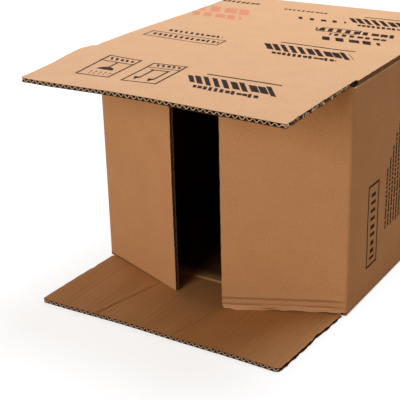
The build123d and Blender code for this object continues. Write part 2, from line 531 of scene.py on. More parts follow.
def make_board_face(name, ridge, printed=None, red_printed=None):
    """Outer kraft liner, with the depth of its washboard, its dark marks and its red marks."""
    material, tree, shader = start_material(name)
    place = sheet_place(tree)
    grain = place_group(tree, paper_grain, {"Place": place, "Mottle": 0.62, "Speckle": 2.3})
    ridges = place_group(tree, washboard, {"Place": place, "Pitch": PITCH}).outputs[0]
    # The washboard ridges also lighten and darken the colour: painted shading of their relief.
    ridge_shading = times(tree, ridges, ridge * 1500)
    tone = maths(tree, "ADD", plus(tree, 0.5, grain.outputs["Tone"]), ridge_shading, clamp=True)
    colour = mixed(tree, tone, (*KRAFT_DARK, 1), (*KRAFT_LIGHT, 1))
    pale, shade_colour = scaled(KRAFT_LIGHT, 1.12, 1.25, 1.45), scaled(KRAFT_DARK, 0.45, 0.38, 0.32)
    colour = worn_and_shaded_colour(tree, colour, pale, shade_colour)
    if printed:
        thin = noise(tree, place, 900.0, 3.0)
        if red_printed:
            faint = between(tree, thin, 0.3, 0.65, 0.35, 0.8)
            colour = mixed(tree, times(tree, red_printed(tree, place), faint), colour, RED_INK)
        full = between(tree, thin, 0.20, 0.42, 0.9, 1.0)
        colour = mixed(tree, times(tree, printed(tree, place), full), colour, INK)
    shader.inputs["Specular IOR Level"].default_value = 0.10
    tree.links.new(colour, shader.inputs["Base Color"])
    smoother = times(tree, grain.outputs["Tone"], 0.12)
    tree.links.new(minus(tree, 0.60, smoother), shader.inputs["Roughness"])
    pressed = times(tree, ridges, ridge)
    fibres = times(tree, grain.outputs["Height"], 0.00006)
    add_bump(tree, shader, plus(tree, pressed, fibres))
    return material


def make_inside_face(name):
    """Unprinted inner liner: washboard shows through it, and painted shade darkens it into the carton."""
    material, tree, shader = start_material(name)
    place = sheet_place(tree)
    grain = place_group(tree, paper_grain, {"Place": place, "Mottle": 0.6, "Speckle": 1.5})
    ridges = place_group(tree, washboard, {"Place": place, "Pitch": PITCH}).outputs[0]
    bands = noise(tree, stretched(tree, place, (1.0, 0.07, 1.0)), 42.0, 3.0)
    streaks = times(tree, centred(tree, bands), 0.6)
    # The ridges shade the colour here too: painted shading of their relief.
    streaks = plus(tree, times(tree, ridges, 0.13), streaks)
    tone = maths(tree, "ADD", plus(tree, 0.5, grain.outputs["Tone"]), streaks, clamp=True)
    colour = mixed(tree, tone, (*INNER_DARK, 1), (*INNER_LIGHT, 1))
    pale, shade_colour = scaled(INNER_LIGHT, 1.15, 1.3, 1.5), scaled(INNER_DARK, 0.4, 0.34, 0.3)
    colour = worn_and_shaded_colour(tree, colour, pale, shade_colour)
    # Painted shade: the liner darkens from the open end's scores into the carton.
    inwards = split(tree, place)[1]
    shaded = between(tree, inwards, SIDE_SCORE_Y - 0.008, SIDE_SCORE_Y + 0.02, 0.0, 0.85)
    colour = mixed(tree, shaded, colour, INSIDE_SHADE)
    tree.links.new(colour, shader.inputs["Base Color"])
    shader.inputs["Roughness"].default_value = 0.8
    shader.inputs["Specular IOR Level"].default_value = 0.25
    waves = times(tree, bands, 0.0003)
    fibres = times(tree, grain.outputs["Height"], 0.00005)
    height = plus(tree, times(tree, ridges, 0.00016), plus(tree, waves, fibres))
    add_bump(tree, shader, height)
    return material


def make_cut_edge(name):
    """Sawn or slotted edge: two pale liners with the middle paper in shadow between them."""
    material, tree, shader = start_material(name)
    far = maths(tree, "ABSOLUTE", centred(tree, attribute(tree, "depth")))
    liner = between(tree, far, 0.33, 0.38)
    rough = noise(tree, sheet_place(tree), 420.0, 4.0)
    shadow, paper = (0.15, 0.068, 0.025, 1), (0.42, 0.22, 0.095, 1)
    inside = mixed(tree, between(tree, rough, 0.35, 0.65), shadow, paper)
    edge = mixed(tree, rough, (0.40, 0.21, 0.10, 1), (0.76, 0.52, 0.32, 1))
    colour = mixed(tree, liner, inside, edge)
    # Where wear and shade is below 0, the edge is painted in shade.
    tree.links.new(worn_and_shaded_colour(tree, colour, colour, FLUTE_SHADE), shader.inputs["Base Color"])
    shader.inputs["Roughness"].default_value = 0.9
    add_bump(tree, shader, rough, 0.0006)
    return material


def make_middle_paper(name):
    """Fluted paper: pale and frayed where it is cut, and painted dark with shade inside the flutes."""
    material, tree, shader = start_material(name)
    rough = noise(tree, sheet_place(tree), 600.0, 3.0)
    uneven = times(tree, centred(tree, rough), 0.0016)
    # Painted shade: the paper darkens away from its cut edge, into the flutes.
    deep = between(tree, plus(tree, attribute(tree, "margin"), uneven), 0.0006, 0.0020)
    frayed = (0.90, 0.74, 0.57, 1)
    colour = mixed(tree, deep, worn_and_shaded_colour(tree, frayed, frayed, FLUTE_SHADE), DEEP_FLUTE_SHADE)
    tree.links.new(colour, shader.inputs["Base Color"])
    shader.inputs["Roughness"].default_value = 0.9
    add_bump(tree, shader, rough, 0.0002)
    return material


def make_tape_film(name):
    """Brown film with fine lines drawn along it."""
    material, tree, shader = start_material(name)
    place = put(tree, "ShaderNodeTexCoord").outputs["Object"]
    lines = noise(tree, stretched(tree, place, (0.15, 1.0, 1.0)), 120.0, 3.0)
    colour = mixed(tree, lines, (0.30, 0.155, 0.055, 1), (0.47, 0.28, 0.12, 1))
    tree.links.new(colour, shader.inputs["Base Color"])
    tree.links.new(between(tree, lines, 0.3, 0.7, 0.16, 0.34), shader.inputs["Roughness"])
    shader.inputs["Coat Weight"].default_value = 0.3
    add_bump(tree, shader, lines, 0.0003)
    return material


PLAIN, ON_FLAP, ON_TOP, ON_SIDE, IN, CUT, MIDDLE = range(7)
BOARD_SLOTS = (
    make_board_face("kraft_liner", 0.00004),
    make_board_face("kraft_liner_flap_marks", 0.00002, flap_print),
    make_board_face("kraft_liner_top_marks", 0.00002, top_print, red_print),
    make_board_face("kraft_liner_side_marks", 0.00004, side_print),
    make_inside_face("kraft_inner_liner"),
    make_cut_edge("board_cut_edge"),
    make_middle_paper("fluted_middle_paper"),
)
tape_film = make_tape_film("packing_tape_film")


# Sheets of board

def waviness(u, v):
    """Unevenness of the flat sheet, in metres, from a place on it."""
    return 0.00045 * (
        np.sin(17.0 * u + 9.0 * v + 0.7)
        + 0.6 * np.sin(31.0 * u - 23.0 * v + 2.1)
        + 0.4 * np.sin(58.0 * u + 41.0 * v)
    )


def ragged(along, seed, size):
    """Unevenness of a cut edge, from the distance along it."""
    return size * (
        0.5 * np.sin(310.0 * along + seed)
        + 0.35 * np.sin(640.0 * along + 2.3 * seed)
        + 0.3 * np.sin(1270.0 * along + 3.1 * seed)
    )


def layer_edge(along, seed, layer, sizes):
    """Unevenness of the edge of one of a flap's layers: outer liner, inner liner or middle paper."""
    return ragged(along, seed + layer, sizes[layer])


def ramp(value, low, high):
    """Smooth step between two values."""
    part = np.clip((value - low) / (high - low), 0, 1)
    return part * part * (3 - 2 * part)


def bell(value, width):
    """1 at 0, falling to nothing over about twice the width."""
    return np.exp(-((value / width) ** 2))


def fold_line(s):
    """Outer and inner board faces along and across a right-angled fold, a distance s past its corner."""
    angle = np.clip((s + FOLD_RADIUS) / (2 * FOLD_RADIUS), 0, 1) * math.pi / 2
    outer_along = np.where(s < -FOLD_RADIUS, s, FOLD_RADIUS * (np.sin(angle) - 1))
    outer_along = np.where(s > FOLD_RADIUS, 0, outer_along)
    outer_across = np.where(s > FOLD_RADIUS, s, FOLD_RADIUS * (1 - np.cos(angle)))
    outer_across = np.where(s < -FOLD_RADIUS, 0, outer_across)
    return outer_along, outer_across, np.minimum(s, -BOARD), np.maximum(s, BOARD)


CLOSEST_LINES = 0.00012  # grid lines nearer than this are one
FAR_FROM_EDGE = 0.02


class Board:
    """
    Collects sheets of board into one mesh. Each point keeps its place on the flat sheet, its depth in the
    board from 0 to 1, its distance from a cut edge, and its wear and painted shade.
    """

    def __init__(self):
        self.points, self.places = [], []
        self.values = {"depth": [], "margin": [], "worn": []}
        self.faces, self.slots = [], []
        self.count = 0

    def add(self, points, faces, places, slots, **values):
        self.points.append(points)
        self.places.append(places)
        for label, kept in self.values.items():
            kept.append(np.broadcast_to(values[label], len(points)).astype(np.float32))
        self.faces += [tuple(corner + self.count for corner in face) for face in faces]
        self.slots += slots
        self.count += len(points)

    def sheet(
        self, us, vs, place, shallow, deep, sides, present=None, worn=None, hidden=None, margin=FAR_FROM_EDGE
    ):
        """
        A slab between two depths, 0 the outer face and 1 the inner, over the cells of a grid on the sheet.
        Sides are the materials of its outer face, inner face and edges. Its hidden face, 0 the outer or
        1 the inner, is the one towards the flutes, and it is painted in full shade.
        """
        u, v = np.meshgrid(us, vs, indexing="ij")
        columns, rows = u.shape
        middles = np.meshgrid((us[1:] + us[:-1]) / 2, (vs[1:] + vs[:-1]) / 2, indexing="ij")
        there = np.ones(middles[0].shape, bool) if present is None else present(*middles)
        outer = np.broadcast_to(sides[0](*middles) if callable(sides[0]) else sides[0], there.shape)
        size = columns * rows
        faces, slots = [], []
        for i, j in zip(*np.nonzero(there)):
            ring = [i * rows + j, (i + 1) * rows + j, (i + 1) * rows + j + 1, i * rows + j + 1]
            faces.append(tuple(ring))
            slots.append(int(outer[i, j]))
            faces.append(tuple(corner + size for corner in reversed(ring)))
            slots.append(sides[1])
            for k, (a, b) in enumerate(((i, j - 1), (i + 1, j), (i, j + 1), (i - 1, j))):
                if not (0 <= a < columns - 1 and 0 <= b < rows - 1 and there[a, b]):
                    p, q = ring[k], ring[(k + 1) % 4]
                    faces.append((q, p, p + size, q + size))
                    slots.append(sides[2])
        wear_and_shade_values = np.zeros(u.shape) if worn is None else worn(u, v)
        face_wear_and_shade = [wear_and_shade_values.reshape(-1), wear_and_shade_values.reshape(-1)]
        # The hidden face is painted in full shade, as deep in the flutes.
        if hidden is not None:
            face_wear_and_shade[hidden] = np.full(size, -1.0)
        self.add(
            np.concatenate([place(u, v, depth).reshape(-1, 3) for depth in (shallow, deep)]),
            faces,
            np.tile(np.stack([u, v], -1).reshape(-1, 2), (2, 1)),
            slots,
            depth=np.repeat([shallow, deep], size),
            margin=margin,
            worn=np.concatenate(face_wear_and_shade),
        )

    def make(self, name):
        mesh = bpy.data.meshes.new(name)
        mesh.from_pydata(np.concatenate(self.points).tolist(), [], self.faces)
        for material in BOARD_SLOTS:
            mesh.materials.append(material)
        mesh.polygons.foreach_set("material_index", self.slots)
        mesh.polygons.foreach_set("use_smooth", [True] * len(self.faces))
        corners = np.empty(len(mesh.loops), int)
        mesh.loops.foreach_get("vertex_index", corners)
        layer = mesh.uv_layers.new(name="sheet")
        layer.uv.foreach_set("vector", np.concatenate(self.places)[corners].reshape(-1))
        for label, kept in self.values.items():
            values = mesh.attributes.new(label, "FLOAT", "POINT").data
            values.foreach_set("value", np.concatenate(kept))
        loose = bmesh.new()
        loose.from_mesh(mesh)
        unused = [point for point in loose.verts if not point.link_faces]
        bmesh.ops.delete(loose, geom=unused, context="VERTS")
        loose.to_mesh(mesh)
        loose.free()
        mesh.set_sharp_from_angle(angle=math.radians(38))
        return added(name, mesh)


def spaced(low, high, step):
    """Even grid lines from low to high, about a step apart."""
    return np.linspace(low, high, max(2, int(round((high - low) / step)) + 1))


def merged(*runs):
    """Grid lines of several runs, in order, with near doubles left out."""
    lines = np.unique(np.round(np.concatenate([np.atleast_1d(run) for run in runs]), 6))
    keep = [lines[0]]
    for line in lines[1:]:
        if line - keep[-1] > CLOSEST_LINES:
            keep.append(line)
    return np.array(keep)


# The folded sheet that doesn't move

CORNERS = (
    # fold on the sheet, corner (x, z), direction before it, direction after it
    (JOINT_FOLD, (WIDTH / 2, HEIGHT - BOARD), (1, 0), (0, -1)),
    (BASE_RIGHT, (WIDTH / 2, 0.0), (0, -1), (-1, 0)),
    (BASE_LEFT, (-WIDTH / 2, 0.0), (-1, 0), (0, 1)),
    (LEFT_FOLD, (-WIDTH / 2, HEIGHT), (0, 1), (1, 0)),
)
FRONT_END = OUTER_SCORE_Y + 0.0025  # where the outer flaps' own boards take over
PANEL_END = SIDE_SCORE_Y + 0.0012  # where the side flaps' own boards take over
TOP_SLOT_END = -0.0885  # end of the slots beside the top flap
FAR_SLOT = INNER_FAR_Y - 0.0030  # end of the closed end's slots
LEFT_SLOT = 0.0035  # half the width of the slot at the left fold
STRIP_EDGE = 0.0036  # width of the slot at the top panel's right edge
CUT_BACK = 0.0006  # depth of the open flute along the top panel's cut edge
CORNER_LIFT = 0.0017  # of the top panel, at the open end of its left fold
CORNER_BULGE = 0.0050  # sideways, at the same place
SOFT_SCORE = 0.0045  # half the width of a side flap's rounded fold
SCORE_PULL = 0.0011  # depth of that rounding


def score_shift(side, angle, away):
    """Sideways and lengthways shift that rounds a side flap's fold, at a distance from its score."""
    pull = Vector((side * (1 + math.sin(angle)), -math.cos(angle))).normalized()
    part = SCORE_PULL * np.clip(1 - away / SOFT_SCORE, 0, 1) ** 2
    return -pull.x * part, -pull.y * part


def body_place(u, v, depth):
    """Point of the folded carton for a place on the flat sheet. The closed end's flaps turn inwards."""
    middles = [(a[0] + b[0]) / 2 for a, b in zip(CORNERS, CORNERS[1:])]
    nearest = np.searchsorted(middles, u)
    points = np.zeros((*u.shape, 3))
    for index, (fold, corner, before, after) in enumerate(CORNERS):
        outer_along, outer_across, inner_along, inner_across = fold_line(u - fold)
        along = outer_along + (inner_along - outer_along) * depth
        across = outer_across + (inner_across - outer_across) * depth
        first = u < fold
        out_x = np.where(first, -after[0], before[0])
        out_z = np.where(first, -after[1], before[1])
        far = np.where(np.abs(out_z) > 0.5, FAR_Y, INNER_FAR_Y)
        outer_along, outer_across, inner_along, inner_across = fold_line(v - far)
        inward = outer_across + (inner_across - BOARD - outer_across) * depth
        swell = waviness(u, v) * np.clip(np.abs(u - fold) / 0.03, 0, 1) * np.clip((far - v) / 0.03, 0, 1)
        swell = np.clip(swell * np.clip((v - OUTER_SCORE_Y) / 0.03, 0, 1), -0.002, 0.0)
        made = np.stack([
            corner[0] + before[0] * along + after[0] * across - out_x * (inward - swell),
            far + outer_along + (inner_along - outer_along) * depth,
            corner[1] + before[1] * along + after[1] * across - out_z * (inward - swell),
        ], -1)
        points[nearest == index] = made[nearest == index]
    # The left fold stands up and out towards the open end
    near = np.where(u < LEFT_FOLD, ramp(LEFT_FOLD - u, 0.0, 0.06), ramp(u - LEFT_FOLD, 0.0, 0.11))
    lift = (1 - ramp(v, -0.05, 0.19)) * (1 - near)
    points[..., 0] -= CORNER_BULGE * lift
    points[..., 2] += CORNER_LIFT * lift
    return points


def bevelled_place(u, v, depth):
    """The side panels thin towards their front scores, where the board is crushed."""
    on_side = ((u > JOINT_FOLD) & (u < BASE_RIGHT)) | ((u > BASE_LEFT) & (u < LEFT_FOLD))
    thin = np.clip((v - SIDE_SCORE_Y) / BOARD, 0.12, 1.0)
    points = body_place(u, v, np.where(on_side, depth * thin, depth))
    for side, angle, ends in (
        (1, RIGHT_FLAP_ANGLE, (JOINT_FOLD, BASE_RIGHT)), (-1, LEFT_FLAP_ANGLE, (BASE_LEFT, LEFT_FOLD)),
    ):
        inside = np.clip(np.minimum(u - ends[0], ends[1] - u), 0, 1)
        for axis, shift in enumerate(score_shift(side, angle, v - SIDE_SCORE_Y)):
            points[..., axis] += shift * ramp(inside, 0.003, 0.007)
    return points


def body_present(u, v):
    """Which cells of the flat sheet are board: panels, tab and the closed end's flaps, between slots."""
    top = (u > LEFT_FOLD + LEFT_SLOT) & (u < TOP_END - STRIP_EDGE)
    base = (u > BASE_RIGHT + SLOT) & (u < BASE_LEFT - SLOT)
    right = (u > JOINT_FOLD + SLOT - BOARD) & (u < BASE_RIGHT - BOARD)
    left = (u > BASE_LEFT + BOARD) & (u < LEFT_FOLD - SLOT)
    by_slot = (np.abs(u - LEFT_FOLD) < LEFT_SLOT) | (u > TOP_END - STRIP_EDGE)
    panels = (v > PANEL_END) & (v < FAR_SLOT) & ~(by_slot & (v < TOP_SLOT_END))
    front = (top | base) & (v < PANEL_END)
    far_top = (u > LEFT_FOLD + SLOT) & (u < TOP_END - SLOT)
    outer_back = (far_top | base) & (v < FAR_Y + OUTER_FLAP)
    inner_back = (right | left) & (v < INNER_FAR_Y + SIDE_FLAP)
    taper = (JOINT_FOLD - u) / TAB * 0.010
    tab = (v > SIDE_SCORE_Y + 0.014 + taper) & (v < INNER_FAR_Y - 0.019 - taper)
    back = (outer_back | inner_back) & (v >= FAR_SLOT)
    return np.where(u < JOINT_FOLD, tab, panels | front | back)


def body_outside(u, v):
    """Which liner shows on the outer face of a cell."""
    top = (u > LEFT_FOLD) & (v < FAR_Y)
    right = (u > JOINT_FOLD) & (u < BASE_RIGHT) & (v < INNER_FAR_Y)
    return np.where(top, ON_TOP, np.where(right, ON_SIDE, PLAIN))


def make_carton_body():
    """The panels, the tab and the closed end's flaps, as one folded sheet."""
    board = Board()
    recess = TOP_END - CUT_BACK
    around_folds = [
        np.concatenate([
            corner[0] + np.linspace(-FOLD_RADIUS, FOLD_RADIUS, 9),
            corner[0] + np.array([-SLOT, SLOT, -BOARD, BOARD]),
        ])
        for corner in CORNERS
    ]
    us = merged(
        spaced(TAB_END, JOINT_FOLD, 0.0095),
        spaced(JOINT_FOLD, BASE_RIGHT, 0.009),
        spaced(BASE_RIGHT, BASE_LEFT, 0.009),
        spaced(BASE_LEFT, LEFT_FOLD, 0.009),
        spaced(LEFT_FOLD, recess, 0.009),
        *around_folds,
        [LEFT_FOLD - LEFT_SLOT, LEFT_FOLD + LEFT_SLOT, JOINT_FOLD + SLOT - BOARD],
        [TOP_END - STRIP_EDGE - 0.0003, TOP_END - STRIP_EDGE, TOP_END - SLOT],
    )
    us = us[us <= recess + 1e-9]
    vs = merged(
        [FRONT_END, OUTER_SCORE_Y + 0.004, PANEL_END, SIDE_SCORE_Y + BOARD, TOP_SLOT_END],
        SIDE_SCORE_Y + np.array([0.0018, 0.0025, 0.0033, 0.0041]),
        spaced(SIDE_SCORE_Y + 0.012, FAR_SLOT, 0.009),
        INNER_FAR_Y + np.linspace(-FOLD_RADIUS, FOLD_RADIUS, 7),
        FAR_Y + np.linspace(-FOLD_RADIUS, FOLD_RADIUS, 7),
        [INNER_FAR_Y + BOARD, FAR_Y + BOARD, FAR_SLOT, INNER_FAR_Y - BOARD, FAR_Y - BOARD],
        spaced(FAR_Y + 0.012, FAR_Y + OUTER_FLAP - 0.0004, 0.011),
        [INNER_FAR_Y + SIDE_FLAP],
    )

    def wear_and_shade_values(u, v):
        # Painted shade on the top panel's edge beside its slot near the open end, and a paler line along the
        # joint fold.
        slot_edge = TOP_END - STRIP_EDGE
        slot_shade = ramp(u, slot_edge - 0.0003, slot_edge) * (v < TOP_SLOT_END + 0.0001)
        paled = bell(u - JOINT_FOLD, 0.0016) * (0.5 + 0.3 * np.sin(95 * v) * np.sin(61 * v + 1))
        return paled - 0.97 * slot_shade

    board.sheet(us, vs, bevelled_place, 0.0, 1.0, (body_outside, IN, CUT), present=body_present, worn=wear_and_shade_values)
    # The top panel's cut edge stays open between its two liners
    lip_us = merged(spaced(recess, TOP_END, 0.0005))
    beside = (vs >= TOP_SLOT_END - 1e-9) & (vs <= FAR_SLOT + 1e-9)
    lip_vs = merged(vs[beside], spaced(TOP_SLOT_END, FAR_SLOT, 0.0035))

    def frayed_place(u, v, depth):
        part = (u - recess) / CUT_BACK
        cut = ragged(v, 1.3 if depth < 0.5 else 4.1, 0.0003 if depth < 0.5 else 0.0006)
        droop = 0.05 * part * part * (depth > 0.5)
        return body_place(u + part * (cut - 0.0003), v, depth + droop)

    def edge_shade(u, v):
        # Painted shade along the top panel's cut edge.
        return -0.45 * ramp(u, TOP_END - 0.0002, TOP_END)

    board.sheet(lip_us, lip_vs, frayed_place, 0.0, LINER / BOARD, (ON_TOP, IN, CUT), worn=edge_shade)
    board.sheet(lip_us, lip_vs, frayed_place, 1 - LINER / BOARD, 1.0, (IN, IN, CUT), worn=edge_shade)
    return board.make("carton_board")


# The corrugated middle paper of a flap, from a node tree

FLUTE_ROWS = 24  # grid lines along a flute
FLUTE_COLUMNS = 10.0  # grid steps across one
FLUTE_HEIGHT = 0.0034  # between the middles of the paper's crests and troughs
PAPER_THICKNESS = 0.0007


def make_flute_tree():
    """A wavy sheet round the origin, of a width, length, pitch and height."""
    tree = bpy.data.node_groups.new("fluted middle paper", "GeometryNodeTree")
    tree.interface.new_socket("Geometry", in_out="OUTPUT", socket_type="NodeSocketGeometry")
    sockets = {}
    for label, value in (("Width", 0.3), ("Length", 0.1), ("Pitch", PITCH), ("Height", FLUTE_HEIGHT)):
        socket = tree.interface.new_socket(label, in_out="INPUT", socket_type=FLOAT)
        socket.default_value = value
        sockets[label] = socket.identifier
    socket = tree.interface.new_socket("Paper", in_out="INPUT", socket_type="NodeSocketMaterial")
    sockets["Paper"] = socket.identifier
    given = tree.nodes.new("NodeGroupInput").outputs
    end = tree.nodes.new("NodeGroupOutput")
    waves = maths(tree, "DIVIDE", given["Width"], given["Pitch"])
    cuts = maths(tree, "FLOOR", times(tree, waves, FLUTE_COLUMNS))
    columns = plus(tree, cuts, 1.0)
    sizes = {"Size X": given["Width"], "Size Y": given["Length"]}
    counts = {"Vertices X": columns, "Vertices Y": FLUTE_ROWS}
    grid = put(tree, "GeometryNodeMeshGrid", {**sizes, **counts})
    across = split(tree, tree.nodes.new("GeometryNodeInputPosition").outputs[0])[0]
    turns = times(tree, maths(tree, "DIVIDE", across, given["Pitch"]), 2 * math.pi)
    reach = times(tree, given["Height"], 0.5)
    lift = times(tree, maths(tree, "COSINE", turns), reach)
    offset = put(tree, "ShaderNodeCombineXYZ", {2: lift}).outputs[0]
    made = {"Geometry": grid.outputs["Mesh"], "Offset": offset}
    made = {"Geometry": put(tree, "GeometryNodeSetPosition", made).outputs[0]}
    made = {"Geometry": put(tree, "GeometryNodeRealizeInstances", made).outputs[0]}
    made = put(tree, "GeometryNodeSetMaterial", {**made, "Material": given["Paper"]})
    tree.links.new(made.outputs[0], end.inputs[0])
    return tree, sockets


flute_tree, flute_sockets = make_flute_tree()


def fluted_paper(width, length):
    """Points and faces of one flap's middle paper, lying flat round the origin."""
    holder = added("flute_holder", bpy.data.meshes.new("flute_holder"))
    maker = holder.modifiers.new("flutes", "NODES")
    maker.node_group = flute_tree
    for label, value in (("Width", width), ("Length", length), ("Pitch", PITCH), ("Height", FLUTE_HEIGHT)):
        maker[flute_sockets[label]] = value
    maker[flute_sockets["Paper"]] = BOARD_SLOTS[MIDDLE]
    thick = holder.modifiers.new("paper", "SOLIDIFY")
    thick.thickness = PAPER_THICKNESS
    thick.offset = 0.0
    mesh = final_mesh(holder)
    points = np.empty(len(mesh.vertices) * 3)
    mesh.vertices.foreach_get("co", points)
    faces = [tuple(face.vertices) for face in mesh.polygons]
    bpy.data.objects.remove(holder)
    bpy.data.meshes.remove(mesh)
    return points.reshape(-1, 3), faces


# Flaps

OUTER_HALF = WIDTH / 2 - SLOT  # half the width of the top and bottom flaps
OUTER_ROOTS = np.linspace(-0.0025, 0.0050, 16)  # grid lines over their scores
OUTER_FLUTES_FROM = -0.0022  # where their middle paper starts, from the score
SIDE_LOW = 0.0054  # height of the side flaps' lower edges
SIDE_HALF = (HEIGHT - SLOT - SIDE_LOW) / 2  # half their width
SIDE_FLUTES_FROM = 0.011  # where their middle paper starts, from the score


def add_flap_board(board, half, length, place, outline, to_sheet, lines, roots, flutes_from, faces, worn):
    """
    A flap's two liners and its fluted middle paper. Across runs along the score, and out runs from it.
    Faces are the outer liner's slot and where the inner liner starts; worn is the wear and painted shade of
    the three papers.
    """
    near_edge = length - np.array([0.003, 0.0018, 0.0008, 0.0])
    outs = merged(roots, spaced(0.012, length - 0.0045, 0.0042), near_edge)
    start = len(board.places)

    def trimmed(layer):
        def made(across, out, depth):
            return place(*outline(across, out, layer), depth)
        return made

    thin = LINER / BOARD
    board.sheet(lines, outs, trimmed(0), 0.0, thin, (faces[0], IN, CUT), worn=worn[0], hidden=1)
    inner_outs = outs[outs >= faces[1]]
    board.sheet(lines, inner_outs, trimmed(1), 1 - thin, 1.0, (IN, IN, CUT), worn=worn[1], hidden=0)
    points, sides = fluted_paper(2 * half - 0.0012, 2.0)
    across = points[:, 0]
    near = spaced(flutes_from, max(flutes_from, 0.006) + 0.0005, 0.0014)
    far = np.linspace(near[-1], length - 0.0003, FLUTE_ROWS - len(near) + 1)[1:]
    out = np.interp(points[:, 1], np.linspace(-1.0, 1.0, FLUTE_ROWS), np.concatenate([near, far]))
    out = out + ragged(across, 2.0, 0.0003) * (out > length - 0.001)
    depth = 0.5 - points[:, 2] / BOARD
    board.add(
        trimmed(2)(across, out, depth),
        sides,
        np.stack([across, out], -1),
        [MIDDLE] * len(sides),
        depth=depth,
        margin=np.minimum(length - out, half - np.abs(across)),
        worn=worn[2],
    )
    for index in range(start, len(board.places)):
        places = board.places[index]
        layer = min(index - start, 2)
        board.places[index] = to_sheet(np.stack(outline(places[:, 0], places[:, 1], layer), -1))


def rounded(across, out, half, length, side, radius):
    """Shortens a flap towards one side so that its corner there is rounded."""
    into = np.clip(radius - (half - side * across), 0, radius)
    cut = radius - np.sqrt(np.clip(radius ** 2 - into ** 2, 0, None))
    return out - cut * np.clip(out / length, 0, 1) ** 3


def near_corners(half):
    """Grid lines close to both side edges of a flap."""
    steps = np.array([0.0006, 0.0015, 0.0028, 0.0045, 0.0065])
    return np.concatenate([-half + steps, half - steps])


def make_top_flap():
    """Its left edge stands up and out past the panel's near the score, and its right corner droops."""
    board = Board()
    half = OUTER_HALF
    length = 0.1508  # a little longer than the solid, as in the photo

    def outline(across, out, layer):
        grown = np.clip(out / length, 0, 1)
        left = -0.1870 + 0.0032 * ramp(grown, 0.0, 0.35) + 0.0045 * ramp(grown, 0.30, 0.65)
        left = left + 0.0023 * ramp(grown, 0.65, 1.0)
        left = left + layer_edge(out, 0.4, layer, (0.0003, 0.0005, 0.0001))
        right = 0.1770 - 0.0010 * grown + layer_edge(out, 2.9, layer, (0.0004, 0.0009, 0.0004))
        right = right - (0, 0.0005, 0.0005)[layer]
        part = (across + half) / (2 * half)
        out = rounded(across, out, half, length, -1, 0.0062)
        out = out + layer_edge(across, 1.7, layer, (0.0002, 0.0003, 0.0)) * ramp(grown, 0.97, 1.0)
        return left + (right - left) * part, out

    def place(across, out, depth):
        pressed = bell(out, 0.0016)
        deep = depth * BOARD
        deep = deep - np.clip(deep - 0.001, 0, None) * 0.42 * pressed
        grown = np.clip(out / length, 0, 1)
        rise = 0.0008 * grown ** 2 * np.sin(9.0 * across + 0.8)
        rise = rise + 0.0004 * grown * np.sin(34 * across + 20 * out)
        rise = rise - 0.0034 * grown ** 1.6 * ramp(across, 0.0, 0.17)
        lift = CORNER_LIFT + 0.0026 * ramp(out, 0.0, 0.03)
        rise = rise + lift * (1 - ramp(WIDTH / 2 + across, 0.0, 0.11)) * (1 - ramp(grown, 0.0, 0.85))
        return np.stack([across, OUTER_SCORE_Y - out, HEIGHT - deep + rise], -1)

    def to_sheet(places):
        return np.stack([places[:, 0] + WIDTH / 2, OUTER_SCORE_Y - places[:, 1]], -1)

    lines = merged(spaced(-half, half, 0.0100), near_corners(half), -half + np.arange(0.008, 0.018, 0.0012))

    def edge_shade(across, out):
        # Painted shade along the flap's free and right edges.
        by_right = ramp(across, half - 0.0008, half - 0.0002)
        return -0.9 * np.maximum(ramp(out, length - 0.0004, length - 0.0001), by_right)

    def patch_shade(across, out):
        # Painted shade in patches between the pale torn middle paper.
        return -0.95 * ramp(np.sin(790 * out + 2.2 * np.sin(230 * out)), -0.1, 0.5)

    def groove(across, out):
        return 0.35 * bell(out, 0.0012) + edge_shade(across, out)

    add_flap_board(
        board, half, length, place, outline, to_sheet, lines, OUTER_ROOTS, OUTER_FLUTES_FROM,
        faces=(ON_FLAP, -1.0), worn=(edge_shade, groove, 0.0),
    )

    def torn_place(across, out, depth):
        crumple = 0.32 * np.sin(1050 * out + 1.7 * np.sin(150 * out))
        crumple = crumple * ramp(across, half - 0.006, half - 0.0015)
        new_across, new_out = outline(across, out, 2)
        stick = 0.0009 * np.sin(730 * out + 2.0 * np.sin(210 * out))
        stick = 0.0004 + stick * ramp(across, half - 0.004, half)
        return place(new_across + stick, new_out, depth + crumple - 0.02)

    # Torn middle paper stands out of the right edge
    edge = spaced(half - 0.0075, half + 0.0002, 0.0011)
    start = len(board.places)
    along = spaced(0.0015, length - 0.0015, 0.0009)
    board.sheet(edge, along, torn_place, 0.40, 0.60, (MIDDLE, MIDDLE, MIDDLE), worn=patch_shade, margin=0.0)
    board.places[start] = to_sheet(board.places[start])
    return board.make("top_flap_board")


